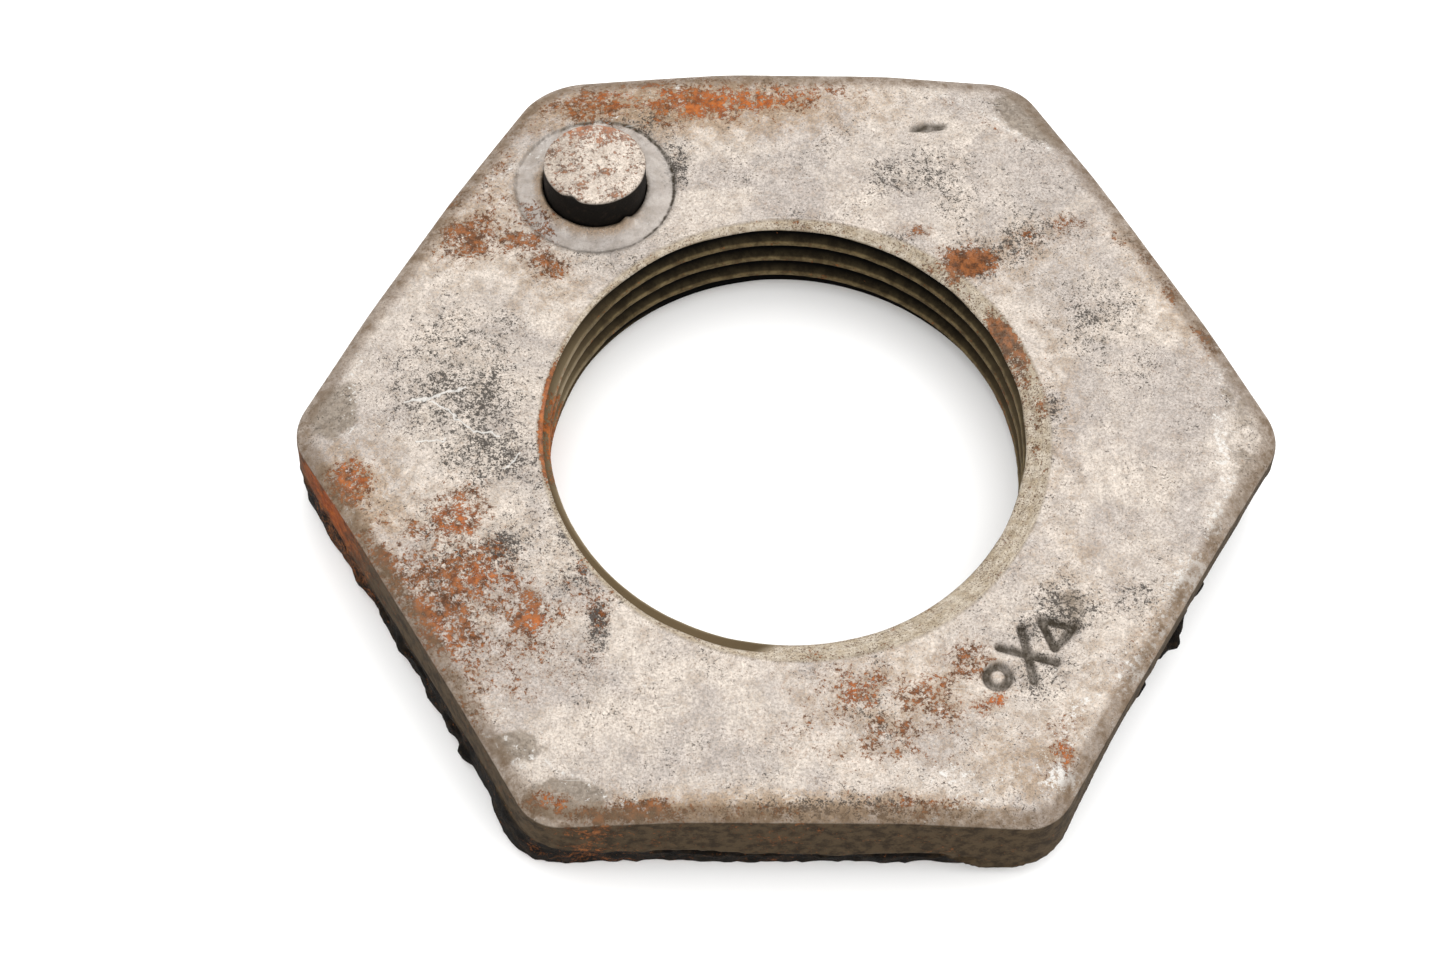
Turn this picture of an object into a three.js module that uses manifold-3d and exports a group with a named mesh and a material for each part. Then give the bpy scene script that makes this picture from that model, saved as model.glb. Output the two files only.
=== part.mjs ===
// Wheel-bearing adjusting nut: a hexagon blanked from steel plate, threaded through its middle,
// with a dowel pin pressed in beside the bore to engage the holes of a lock washer.
// Millimetres, +Z up. The origin is on the thread axis, in the plane of the bottom face.
// Two flats face -Y and +Y, and two corners lie on the X axis.

import * as THREE from "three";
import { mergeVertices } from "three/addons/utils/BufferGeometryUtils.js";
import Module from "manifold-3d";

const wasm = await Module();
wasm.setup();

// Plate
const plateThickness = 9;
const rimWidth = 13.5; // from the thread's root to a flat
const cornerRadius = 4; // round of the six upright corners
const rollWidth = 1.4; // the punch rounds the top edge over this width
const rollDepth = 0.5;
const tornHeight = 4.6; // the lower part of the sides is torn, not sheared
const tornTaper = 0.8; // and leans in by this much at the bottom
const facetLength = 5.5; // each corner of the top face droops, from this far inside the corner
const facetDrop = 1.2; // by this much at the corner

// Thread
const threadDiameter = 38.1; // root of the internal thread, one and a half inches
const threadPitch = 25.4 / 12; // twelve threads to the inch
const grooveDepth = 1.2; // from the top face down to the first groove's middle, on the bore's +Y side
const chamferClearance = 0.05; // the bore's chamfers open this far outside the thread's root
const topChamferDepth = 0.65;
const bottomChamferDepth = 1.4;

// Pin
const pinDiameter = 7.9;
const pinStandout = 3.1; // above the top face
const pinEdge = 0.25; // chamfer at the pin's top
const pinLead = 0.6; // chamfer at the end that was pressed in
const pinSetback = 0.3; // the pressed-in end stops this far above the bottom face
const pinAngle = 124; // degrees from +X, near the corner at 120
const fitGap = 0.3; // between the pin and its hole, all round
const ringWidth = 2.3; // flat ring coined around the pin
const ringDepth = 0.25;
const ringLand = 0.9; // plate left between the ring and the bore's chamfer

// Punched marks, in place of a maker's number
const markHeight = 3.6;
const markWidth = 2.2;
const markStroke = 0.55;
const markDepth = 0.3;
const markSpacing = 2.9; // from one mark's middle to the next
const markLand = 4.8; // plate left between the marks and the bore's chamfer
const markAngle = -48; // degrees from +X, at the middle mark

// Sizes that follow from the ones above
const apothem = threadDiameter / 2 + rimWidth; // half of 65.1 across the flats
const cornerDistance = apothem / Math.cos(Math.PI / 6);
const threadRootRadius = threadDiameter / 2;
const threadHeight = 0.5413 * threadPitch; // of a 60 degree thread with an eighth and a quarter cut off
const boreRadius = threadRootRadius - threadHeight;
const chamferRadius = threadRootRadius + chamferClearance;
const ringRadius = pinDiameter / 2 + ringWidth;
const pinCircle = chamferRadius + ringLand + ringRadius;
const pinTop = plateThickness + pinStandout;
const markCircle = chamferRadius + markLand + markHeight / 2;
const grooveHeight = plateThickness - grooveDepth;

// Tools that cut past a face run this far beyond it.
const overrun = 2;
const stepsPerTurn = 48;

const degrees = (angle) => THREE.MathUtils.degToRad(angle);

function solidFrom(geometry) {
  const bare = geometry.index ? geometry.toNonIndexed() : geometry.clone();
  bare.deleteAttribute("normal");
  bare.deleteAttribute("uv");
  const merged = mergeVertices(bare, 1e-4);
  return new wasm.Manifold(
    new wasm.Mesh({
      numProp: 3,
      vertProperties: merged.attributes.position.array,
      triVerts: new Uint32Array(merged.index.array),
    }),
  );
}

function geometryFrom(solid) {
  const mesh = solid.getMesh();
  const shared = new THREE.BufferGeometry();
  shared.setAttribute("position", new THREE.BufferAttribute(mesh.vertProperties, 3));
  shared.setIndex(new THREE.BufferAttribute(mesh.triVerts, 1));
  const geometry = shared.toNonIndexed();
  geometry.computeVertexNormals();
  return geometry;
}

// A solid of revolution about Z, from points given as radius and height.
function turned(points) {
  const profile = points.map(([radius, height]) => new THREE.Vector2(radius, height));
  return new THREE.LatheGeometry(profile, stepsPerTurn).rotateX(Math.PI / 2);
}

// A hexagon with round corners: flats face -Y and +Y.
function hexagon(flatDistance, round) {
  const shape = new THREE.Shape();
  const centreDistance = (flatDistance - round) / Math.cos(Math.PI / 6);
  for (let corner = 0; corner < 6; corner += 1) {
    const direction = degrees(60 * corner);
    const x = centreDistance * Math.cos(direction);
    const y = centreDistance * Math.sin(direction);
    shape.absarc(x, y, round, direction - degrees(30), direction + degrees(30), false);
  }
  shape.closePath();
  return shape;
}

// The blank's top edge: a quarter of an ellipse, as the punch leaves it.
function rolledPrism() {
  const outline = hexagon(apothem - rollWidth, cornerRadius - rollWidth);
  const prism = new THREE.ExtrudeGeometry(outline, {
    depth: plateThickness - rollDepth + overrun,
    bevelThickness: rollDepth,
    bevelSize: rollWidth,
    bevelSegments: 4,
    curveSegments: 5,
  });
  return solidFrom(prism.translate(0, 0, -overrun));
}

// The blank's torn lower edge: a straight lean from full size down to the bottom face.
function taperedPrism() {
  const outline = hexagon(apothem - tornTaper, cornerRadius - tornTaper);
  const prism = new THREE.ExtrudeGeometry(outline, {
    depth: plateThickness,
    bevelThickness: tornHeight,
    bevelSize: tornTaper,
    bevelSegments: 1,
    curveSegments: 5,
  });
  return solidFrom(prism.translate(0, 0, tornHeight));
}

// A block whose underside is the drooping facet of one corner.
function cornerFacet(corner) {
  const length = 3 * facetLength;
  const height = 4;
  const block = new THREE.BoxGeometry(length, cornerDistance, height);
  block.translate(length / 2, 0, height / 2);
  block.rotateY(Math.atan(facetDrop / facetLength));
  block.translate(cornerDistance - facetLength, 0, plateThickness);
  block.rotateZ(degrees(60 * corner));
  return solidFrom(block);
}

// The plain bore with its two chamfers.
function boreCutter() {
  const mouthRadius = (depth) => chamferRadius + (overrun * (chamferRadius - boreRadius)) / depth;
  return solidFrom(
    turned([
      [0, -overrun],
      [mouthRadius(bottomChamferDepth), -overrun],
      [boreRadius, bottomChamferDepth],
      [boreRadius, plateThickness - topChamferDepth],
      [mouthRadius(topChamferDepth), plateThickness + overrun],
      [0, plateThickness + overrun],
    ]),
  );
}

// A right-hand helix whose frames keep one side of the section on the radius.
class Helix extends THREE.Curve {
  constructor(radius, pitch, startHeight, startAngle, turns) {
    super();
    Object.assign(this, { radius, pitch, startHeight, startAngle, turns });
  }

  angleAt(t) {
    return this.startAngle + 2 * Math.PI * this.turns * t;
  }

  getPoint(t, target = new THREE.Vector3()) {
    const angle = this.angleAt(t);
    const height = this.startHeight + this.pitch * this.turns * t;
    return target.set(this.radius * Math.cos(angle), this.radius * Math.sin(angle), height);
  }

  computeFrenetFrames(segments) {
    const frames = { tangents: [], normals: [], binormals: [] };
    for (let i = 0; i <= segments; i += 1) {
      const angle = this.angleAt(i / segments);
      frames.tangents.push(new THREE.Vector3(-Math.sin(angle), Math.cos(angle), 0));
      frames.normals.push(new THREE.Vector3(Math.cos(angle), Math.sin(angle), 0));
      frames.binormals.push(new THREE.Vector3(0, 0, -1));
    }
    return frames;
  }
}

// The thread's groove: a truncated 60 degree vee swept along the helix, from below the
// bottom face to above the top one.
function threadCutter() {
  const mouth = 0.2; // the section starts this far inside the bore's wall
  const flank = Math.tan(degrees(30));
  const rootHalf = threadPitch / 16;
  const mouthHalf = rootHalf + (threadHeight + mouth) * flank;
  const section = new THREE.Shape([
    new THREE.Vector2(-mouth, -mouthHalf),
    new THREE.Vector2(threadHeight, -rootHalf),
    new THREE.Vector2(threadHeight, rootHalf),
    new THREE.Vector2(-mouth, mouthHalf),
  ]);
  const turnsBelow = Math.ceil(grooveHeight / threadPitch) + 1;
  const turnsAbove = Math.ceil(grooveDepth / threadPitch) + 1;
  const turns = turnsBelow + turnsAbove;
  const startHeight = grooveHeight - turnsBelow * threadPitch;
  const path = new Helix(boreRadius, threadPitch, startHeight, Math.PI / 2, turns);
  const steps = turns * stepsPerTurn;
  return solidFrom(
    new THREE.ExtrudeGeometry(section, { steps, extrudePath: path, bevelEnabled: false }),
  );
}

function atPin(geometry) {
  const angle = degrees(pinAngle);
  return geometry.translate(pinCircle * Math.cos(angle), pinCircle * Math.sin(angle), 0);
}

// The coined ring's floor and the hole that holds the pin.
function pinSeatCutter() {
  const holeRadius = pinDiameter / 2 + fitGap;
  const floor = plateThickness - ringDepth;
  return solidFrom(
    atPin(
      turned([
        [0, -overrun],
        [holeRadius, -overrun],
        [holeRadius, floor],
        [ringRadius, floor],
        [ringRadius, plateThickness + overrun],
        [0, plateThickness + overrun],
      ]),
    ),
  );
}

function ringMark() {
  const shape = new THREE.Shape().absarc(0, 0, markWidth / 2, 0, 2 * Math.PI, false);
  shape.holes.push(new THREE.Path().absarc(0, 0, markWidth / 2 - markStroke, 0, 2 * Math.PI, true));
  return [shape];
}

function bar(length, angle) {
  const halfLength = length / 2;
  const halfStroke = markStroke / 2;
  const corners = [
    new THREE.Vector2(-halfLength, -halfStroke),
    new THREE.Vector2(halfLength, -halfStroke),
    new THREE.Vector2(halfLength, halfStroke),
    new THREE.Vector2(-halfLength, halfStroke),
  ];
  const centre = new THREE.Vector2();
  return new THREE.Shape(corners.map((corner) => corner.rotateAround(centre, angle)));
}

function crossMark() {
  const diagonal = Math.hypot(markHeight, markWidth);
  const lean = Math.atan2(markHeight, markWidth);
  return [bar(diagonal, lean), bar(diagonal, -lean)];
}

function triangleMark() {
  const outer = 0.62 * markWidth;
  const inner = outer - 2 * markStroke * 0.6;
  const corner = (reach, index) => {
    const angle = degrees(90 + 120 * index);
    return new THREE.Vector2(reach * Math.cos(angle), reach * Math.sin(angle));
  };
  const shape = new THREE.Shape([corner(outer, 0), corner(outer, 1), corner(outer, 2)]);
  shape.holes.push(new THREE.Path([corner(inner, 2), corner(inner, 1), corner(inner, 0)]));
  return [shape];
}

// Marks stand side by side along a circle about the bore, with their tops away from it.
function markCutters() {
  const stepAngle = markSpacing / markCircle;
  return [ringMark(), crossMark(), triangleMark()].flatMap((shapes, index) => {
    const angle = degrees(markAngle) + (index - 1) * stepAngle;
    return shapes.map((shape) => {
      const punch = new THREE.ExtrudeGeometry(shape, {
        depth: markDepth + overrun,
        bevelEnabled: false,
        curveSegments: 8,
      });
      punch.rotateZ(angle - Math.PI / 2);
      punch.translate(
        markCircle * Math.cos(angle),
        markCircle * Math.sin(angle),
        plateThickness - markDepth,
      );
      return solidFrom(punch);
    });
  });
}

function nutBody() {
  let body = rolledPrism().intersect(taperedPrism());
  for (let corner = 0; corner < 6; corner += 1) {
    body = body.subtract(cornerFacet(corner));
  }
  const cutters = [boreCutter(), threadCutter(), pinSeatCutter(), ...markCutters()];
  for (const cutter of cutters) {
    body = body.subtract(cutter);
  }
  return geometryFrom(body);
}

function lockPin() {
  const radius = pinDiameter / 2;
  return atPin(
    turned([
      [0, pinSetback],
      [radius - pinLead / 2, pinSetback],
      [radius, pinSetback + pinLead],
      [radius, pinTop - pinEdge],
      [radius - pinEdge, pinTop],
      [0, pinTop],
    ]),
  );
}

function named(name, geometry, material) {
  const mesh = new THREE.Mesh(geometry, material);
  mesh.name = name;
  return mesh;
}

const plateSteel = new THREE.MeshStandardMaterial({ color: 0xb5aba0, roughness: 0.55, metalness: 0.7 });
const pinSteel = new THREE.MeshStandardMaterial({ color: 0xc2b6aa, roughness: 0.5, metalness: 0.75 });

const group = new THREE.Group();
group.add(named("nut_body", nutBody(), plateSteel));
group.add(named("lock_pin", lockPin(), pinSteel));

export default group;
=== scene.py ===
import bpy
import numpy as np
from mathutils import Matrix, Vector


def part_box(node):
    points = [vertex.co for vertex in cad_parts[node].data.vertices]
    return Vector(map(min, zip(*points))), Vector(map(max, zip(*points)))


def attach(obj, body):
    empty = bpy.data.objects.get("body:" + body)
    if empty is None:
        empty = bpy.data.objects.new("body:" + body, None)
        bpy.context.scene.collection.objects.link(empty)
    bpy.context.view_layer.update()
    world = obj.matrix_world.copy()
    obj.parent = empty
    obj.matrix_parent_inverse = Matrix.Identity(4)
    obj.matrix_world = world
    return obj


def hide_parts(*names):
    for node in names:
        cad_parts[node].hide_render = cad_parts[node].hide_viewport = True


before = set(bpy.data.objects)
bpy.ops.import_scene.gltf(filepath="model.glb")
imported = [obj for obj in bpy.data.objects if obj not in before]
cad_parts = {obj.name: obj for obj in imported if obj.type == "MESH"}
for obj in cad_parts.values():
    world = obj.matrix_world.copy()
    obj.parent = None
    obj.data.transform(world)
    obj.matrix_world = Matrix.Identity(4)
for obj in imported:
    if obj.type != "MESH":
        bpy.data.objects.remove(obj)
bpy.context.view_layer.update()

mm = 0.001
sixth = np.pi / 3
nutLow, nutHigh = [np.array(corner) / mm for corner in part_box("nut_body")]
pinLow, pinHigh = [np.array(corner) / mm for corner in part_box("lock_pin")]
apothem = float(nutHigh[1])
thickness = float(nutHigh[2])
pinCentre = (pinLow[:2] + pinHigh[:2]) / 2
pinRadius = float(pinHigh[0] - pinLow[0]) / 2
print("frame loaded: nut", np.round(nutHigh - nutLow, 2), "mm, pin radius", round(pinRadius, 2))

# Lengths are in mm and angles in degrees, unless a line says otherwise.
plate = {
    "columns": 640,
    "topRows": 58,
    "rollRows": 6,
    "sideRows": 26,
    "bottomRows": 12,
    # corners at 0, 60, 120, 180, 240 and 300 degrees from +X
    "cornerRound": [4.0, 4.2, 5.6, 4.2, 3.8, 4.0],
    "cornerDrop": [1.2, 1.25, 1.75, 1.2, 1.15, 1.2],
    "cornerReach": [5.4, 5.5, 7.2, 5.6, 5.2, 5.4],
    "creaseSoftness": 0.28,
    "rollWidth": 1.4,
    "rollDepth": 0.5,
    "tornHeight": 4.5,
    # lean of the torn zone on the flats facing 30, 90, 150, 210, 270 and 330 degrees
    "tornLean": [0.7, 0.8, 0.5, 0.2, 0.8, 1.9],
    "tornRise": [0.0, 0.0, 0.0, 0.0, -1.2, 1.9],  # how much higher the torn zone reaches on each flat
    "tornRoughness": 0.26,
    "wholeCorner": (-60, 10, 2.8),  # direction, half spread and depth of a dip in the torn zone
    "footHeight": 0.12,  # of the bottom edge above the ground
    "undulation": 0.05,
}
thread = {
    "pitch": 25.4 / 12,
    "rootRadius": 19.05,
    "grooveHeight": 7.8,  # of one groove's middle, on the +Y side of the bore
    "chamferRadius": 19.1,
    "topChamfer": 0.65,
    "topChamferShift": (0.5, -0.55),  # of the countersink's centre, in x and y
    "topChamferRows": 12,
    "bottomChamfer": 1.4,
    "bottomChamferRows": 7,
    "plainTop": 1.7,  # the helical rows stop this many chamfer depths below the top
    "depthShare": 0.5413,  # depth of a groove, as a share of the pitch
    "phases": [-0.0625, 0.0625, 0.2, 0.35, 0.4, 0.5, 0.6, 0.65, 0.8],
    "wear": 0.035,
    "wearRadius": 19,
}
grooveDepth = thread["depthShare"] * thread["pitch"]
crestRadius = thread["rootRadius"] - grooveDepth
seat = {
    "ringRadius": 6.25,
    "ringDepth": 0.25,
    "holeGap": 0.1,
    "baseGroove": 0.16,
    "collar": 0.55,  # metal raised round the pin's foot on its front left side
    "burr": 0.45,  # a small spike of metal at the pin's front right
}
marks = {
    "circle": 25.7,
    "angle": -48,
    "spacing": 2.9,
    "height": 3.7,
    "width": 2.3,
    "stroke": 0.62,
    "depth": 0.34,
    "lip": 0.09,
}


# Smooth noise from -1 to 1: random numbers on a cubic lattice, blended by a smoothstep between its corners.
def smoothNoise(points, size, seed):
    lattice = np.random.default_rng(seed).random((32, 32, 32)) * 2 - 1
    scaled = points / size + 100.37
    cell = np.floor(scaled).astype(int)
    part = scaled - cell
    part = part * part * (3 - 2 * part)
    total = np.zeros(points.shape[:-1])
    for corner in np.ndindex(2, 2, 2):
        weight = np.prod(np.where(np.array(corner, bool), part, 1 - part), axis=-1)
        i, j, k = np.moveaxis((cell + np.array(corner)) % 32, -1, 0)
        total += weight * lattice[i, j, k]
    return total


# Layered noise: each layer has half the size and half the strength of the one before.
def layeredNoise(points, size, seed, layers=3):
    return sum(smoothNoise(points, size / 2**n, seed + n) / 2**n for n in range(layers))


# Smoothstep: 0 below low, 1 above high, and a cubic between.
def ease(value, low, high):
    part = np.clip((value - low) / (high - low), 0, 1)
    return part * part * (3 - 2 * part)


# Bell: 1 at the centre and 1/e one width away, with a flatter top and steeper sides at a higher power.
def bell(value, centre, width, power=2):
    return np.exp(-(((value - centre) / width) ** power))


# Where a stretched and turned ellipse lies: 0 at its centre and 1 on its outline.
def ellipseShare(x, y, centreX, centreY, halfLength, halfWidth, turn):
    c, s = np.cos(np.radians(turn)), np.sin(np.radians(turn))
    along = ((x - centreX) * c + (y - centreY) * s) / halfLength
    across = (-(x - centreX) * s + (y - centreY) * c) / halfWidth
    return np.hypot(along, across)


# Distance in the plane from points to a line segment: the part across it, and past its ends.
def segmentDistance(x, y, start, end):
    start, end = np.array(start, float), np.array(end, float)
    along = end - start
    share = ((x - start[0]) * along[0] + (y - start[1]) * along[1]) / (along @ along)
    share = np.clip(share, 0, 1)
    return np.hypot(x - start[0] - share * along[0], y - start[1] - share * along[1])


# Column directions over one turn: equal steps of a running total of density, which is 1 plus a bell at each
# crowded place.
def crowdedAngles(count, start, crowds):
    fine = np.linspace(start, start + 2 * np.pi, 14401)
    density = np.ones_like(fine)
    for centre, spread, strength in crowds:
        gap = (fine - np.radians(centre) + np.pi) % (2 * np.pi) - np.pi
        density += strength * bell(gap, 0, np.radians(spread), 4)
    total = np.concatenate([[0], np.cumsum((density[1:] + density[:-1]) / 2)])
    return np.interp(np.arange(count) / count * total[-1], total, fine)


# Plan outline of the plate: straight flats at the apothem, and at each corner an arc whose centre is as far
# inside both flats. Gives points and outward directions.
def plateOutline(angles):
    nearest = np.round(angles / sixth)
    corner = nearest.astype(int) % 6
    delta = angles - nearest * sixth
    rounding = np.array(plate["cornerRound"])[corner]
    centre = (apothem - rounding) / np.cos(sixth / 2)
    tangent = np.arctan2(rounding * 0.5, centre + rounding * np.cos(sixth / 2))
    flatRadius = apothem / np.cos(sixth / 2 - np.abs(delta))
    arcRadius = centre * np.cos(delta) + np.sqrt(np.maximum(rounding**2 - (centre * np.sin(delta)) ** 2, 0))
    onArc = np.abs(delta) < tangent
    radius = np.where(onArc, arcRadius, flatRadius)
    points = np.stack([radius * np.cos(angles), radius * np.sin(angles)], -1)
    arcCentre = np.stack([centre * np.cos(nearest * sixth), centre * np.sin(nearest * sixth)], -1)
    flatFacing = nearest * sixth + np.where(delta < 0, -1, 1) * sixth / 2
    flatNormal = np.stack([np.cos(flatFacing), np.sin(flatFacing)], -1)
    arcNormal = (points - arcCentre) / rounding[:, None]
    return points, np.where(onArc[:, None], arcNormal, flatNormal)


# Droop of the corner facets: past a crease across each corner, the depth grows in proportion to the distance
# towards the corner, with a soft bend at the crease.
def cornerDroop(x, y):
    total = np.zeros_like(x)
    soft = plate["creaseSoftness"]
    for corner in range(6):
        towards = x * np.cos(corner * sixth) + y * np.sin(corner * sixth)
        reach = plate["cornerReach"][corner]
        past = (towards - apothem / np.cos(sixth / 2) + reach) / soft
        total += plate["cornerDrop"][corner] / reach * soft * np.logaddexp(0, past)
    return total


# Distance from the middle line of the nearest punched stroke: a ring, a cross and a triangle, side by side on
# a circle about the bore.
def markDistance(x, y):
    nearest = np.full_like(x, 99.0)
    halfWidth, halfHeight = marks["width"] / 2, marks["height"] / 2
    step = marks["spacing"] / marks["circle"]
    for index in range(3):
        angle = np.radians(marks["angle"]) + (index - 1) * step
        outward = np.array([np.cos(angle), np.sin(angle)])
        sideways = np.array([outward[1], -outward[0]])
        across = x * sideways[0] + y * sideways[1]
        up = marks["circle"] - (x * outward[0] + y * outward[1])
        if index == 0:
            distance = np.abs(np.hypot(across, up) - halfWidth + marks["stroke"] / 2)
        elif index == 1:
            distance = np.minimum(
                segmentDistance(across, up, (-halfWidth, -halfHeight), (halfWidth, halfHeight)),
                segmentDistance(across, up, (-halfWidth, halfHeight), (halfWidth, -halfHeight)),
            )
        else:
            tips = [(0, halfWidth * 1.15), (-halfWidth, -halfWidth * 0.85), (halfWidth, -halfWidth * 0.85)]
            distance = np.minimum.reduce(
                [segmentDistance(across, up, tips[n], tips[(n + 1) % 3]) for n in range(3)]
            )
        nearest = np.minimum(nearest, distance)
    return nearest


# Dents: elliptical hollows, each at x, y with half length, half width, turn and depth.
dents = [
    (11.7, 27.5, 1.25, 0.42, 4, 0.28), (10.4, 27.3, 0.4, 0.35, 0, 0.2), (-20.2, -1.6, 0.5, 0.12, 35, 0.05),
    (24.5, 14.7, 0.9, 0.1, -38, 0.06), (31.6, 0.4, 0.5, 0.25, 80, 0.05), (29.5, -12.2, 0.6, 0.25, 60, 0.06),
]


# Depth of the dents: flat floors, with sides that ease out to nothing past each ellipse.
def dentDepth(x, y):
    total = np.zeros_like(x)
    for *ellipse, depth in dents:
        total += depth * ease(ellipseShare(x, y, *ellipse) ** 2, 1.5, 0.4)
    return total


# Relief of the top face: droop at the corners, the coined ring with a creased rim, a torn groove at the pin's
# foot, the punched marks with raised lips, dents, slow waves and fine unevenness.
def topRelief(x, y):
    flatPoints = np.stack([x, y, np.zeros_like(x)], -1)
    height = -cornerDroop(x, y) - dentDepth(x, y)
    fromPin = np.hypot(x - pinCentre[0], y - pinCentre[1])
    aroundPin = np.arctan2(y - pinCentre[1], x - pinCentre[0])
    ringEdge = seat["ringRadius"] + 0.06 * smoothNoise(flatPoints, 2.5, 31)
    height -= seat["ringDepth"] * ease(fromPin, ringEdge + 0.12, ringEdge - 0.12)
    height += 0.04 * bell(fromPin, ringEdge + 0.35, 0.3)
    height += 0.06 * bell(fromPin, pinRadius + 1.3, 0.5) + 0.2 * bell(fromPin, pinRadius, 1.1)
    tear = 0.55 + 0.45 * smoothNoise(flatPoints, 0.9, 33)
    height -= seat["baseGroove"] * tear * ease(fromPin, pinRadius + 0.6, pinRadius + 0.05)
    collarSide = ease(np.cos(aroundPin + 2.1), -0.2, 0.7) * (0.6 + 0.6 * tear)
    height += seat["collar"] * collarSide * bell(fromPin, pinRadius + 0.3, 0.34)
    height += seat["burr"] * bell(fromPin, pinRadius + 0.25, 0.3) * bell(aroundPin, -0.95, 0.09)
    stroke = markDistance(x, y)
    half = marks["stroke"] / 2
    height -= marks["depth"] * ease(stroke, half + 0.1, half - 0.16)
    height += marks["lip"] * bell(stroke, half + 0.3, 0.22)
    height += plate["undulation"] * smoothNoise(flatPoints, 7.0, 35)
    height += 0.012 * layeredNoise(flatPoints, 1.4, 36)
    return height


# Lumps of the torn edge, each at x, y, z with a radius and a height outwards.
lumps = [
    (-35.4, -5.6, 1.6, 2.4, 0.2), (-20.8, -30, 1.2, 2.8, 0.62), (-32.6, -9.3, 1.4, 0.9, 0.3),
    (-31.3, -11.2, 1.5, 0.7, 0.25), (-30.4, -12.6, 1.2, 0.8, 0.2), (-28.9, -15.2, 1.9, 0.9, 0.36),
    (-27, -18.6, 1.4, 0.6, 0.2), (-25.4, -21.3, 1.2, 1.1, 0.3), (-24, -23.4, 0.9, 0.8, 0.55),
    (31.5, -10.8, 3.4, 0.9, 0.8), (30.9, -12, 3.4, 0.7, 0.5), (29.2, -14.6, 3.3, 1.1, 1.15),
    (28.4, -16, 3.4, 1.1, 0.85), (30, -13.2, 3.5, 0.8, 0.7), (26.4, -19.4, 3.5, 1, 0.85),
    (25.3, -21.2, 3.6, 0.7, 0.6),
]
# Hollows, each at x, y, z with half length, half height and depth.
cavities = [
    (-8.6, -32.3, 3.35, 1.5, 0.42, 0.75), (-5.9, -32.3, 3.1, 1.9, 0.38, 0.8),
    (-2.3, -32.3, 2.7, 1.6, 0.34, 0.7), (2.4, -32.3, 2.5, 1.4, 0.3, 0.55),
    (6.4, -32.3, 2.9, 1.1, 0.4, 0.65), (9.6, -32.3, 2.8, 1.8, 0.42, 0.8), (12.6, -32.3, 2.6, 0.8, 0.3, 0.5),
    (-30.6, -12, 2.6, 1.3, 0.5, 0.6), (-27.6, -17, 2.8, 1.7, 0.5, 0.7), (-24.6, -22, 2.6, 1.1, 0.5, 0.6),
    (-10, 32.3, 2.8, 3.2, 0.5, 0.6), (6, 32.3, 3.2, 2.4, 0.5, 0.6), (24, 22.8, 2.8, 2.2, 0.5, 0.6),
    (-23, 23.6, 2.8, 2.6, 0.5, 0.6),
]


# A value given for each flat, eased from one flat to the next over the corner between them.
def byFlat(values, angles):
    middles = np.radians(np.arange(30, 390, 60))
    stops = np.concatenate([middles + np.radians(offset) for offset in (-23, 23)])
    order = np.argsort(stops)
    return np.interp(angles, stops[order], np.concatenate([values] * 2)[order], period=2 * np.pi)


# Height of the torn zone's upper border, which wanders along the edge and differs from flat to flat.
def tornBorder(points):
    along = points.copy()
    along[..., 2] = 0
    angles = np.arctan2(points[..., 1], points[..., 0])
    towards, spread, dip = plate["wholeCorner"]
    border = plate["tornHeight"] + byFlat(plate["tornRise"], angles)
    border = border - dip * bell(np.degrees(angles), towards, spread, 4)
    return border + 0.5 * smoothNoise(along, 5.0, 41) + 0.22 * smoothNoise(along, 1.1, 42)


# Outward shift of the side at a height: none in the sheared band, and below it a lean that grows towards the
# bottom, broken by coarse and fine noise, lumps and hollows.
def sideShift(points, lean):
    border = tornBorder(points)
    z = points[..., 2]
    below = np.clip((border - z) / border, 0, 1)
    torn = ease(border - z, -0.05, 0.35)
    stretched = points * np.array([1.0, 1.0, 0.6])
    rough = 0.6 * layeredNoise(stretched, 1.7, 43, 2) + 0.5 * smoothNoise(stretched, 0.62, 46)
    shift = -lean * below**0.8 + plate["tornRoughness"] * torn * rough - 0.06 * torn
    for x, y, height, radius, amount in lumps:
        gap = np.linalg.norm(points - np.array([x, y, height]), axis=-1)
        shift += amount * bell(gap, 0, radius, 4)
    for x, y, height, halfLength, halfHeight, depth in cavities:
        along = np.hypot(points[..., 0] - x, points[..., 1] - y)
        shape = bell(along, 0, halfLength, 4) * bell(z, height + 0.15 * rough, halfHeight, 4)
        shift -= depth * shape * (0.7 + 0.5 * rough)
    shift += 0.03 * smoothNoise(points, 3.0, 47) * (1 - torn)
    return shift


# Radius of the top chamfer's mouth, a circle whose centre is a little off the bore's axis.
def mouthRadius(angles):
    shiftX, shiftY = thread["topChamferShift"]
    return thread["chamferRadius"] + shiftX * np.cos(angles) + shiftY * np.sin(angles)


# Radius of the top chamfer's cone at a direction and height: it falls from the mouth in proportion to the
# depth.
def topConeRadius(angles, z):
    slope = (thread["chamferRadius"] - crestRadius) / thread["topChamfer"]
    return mouthRadius(angles) - slope * (thickness - z)


# Distance up or down from the middle of the nearest groove, as a share of the pitch.
def grooveDistance(angles, z):
    phase = (z - thread["grooveHeight"]) / thread["pitch"] - (angles - np.pi / 2) / (2 * np.pi)
    return np.abs(phase - np.round(phase))


# Radius of the bore at a direction and height: the larger of the thread's groove, a trapezium repeated once a
# pitch along the helix, and the two cones of the chamfers.
def boreRadiusAt(angles, z):
    halfMouth, flankWidth = 0.38, 0.3125  # of a groove, as shares of the pitch
    groove = crestRadius + grooveDepth * np.clip((halfMouth - grooveDistance(angles, z)) / flankWidth, 0, 1)
    mouth = thread["chamferRadius"]
    bottomCone = mouth - (mouth - crestRadius) * z / thread["bottomChamfer"]
    return np.maximum(np.maximum(groove, topConeRadius(angles, z)), bottomCone)


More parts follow.
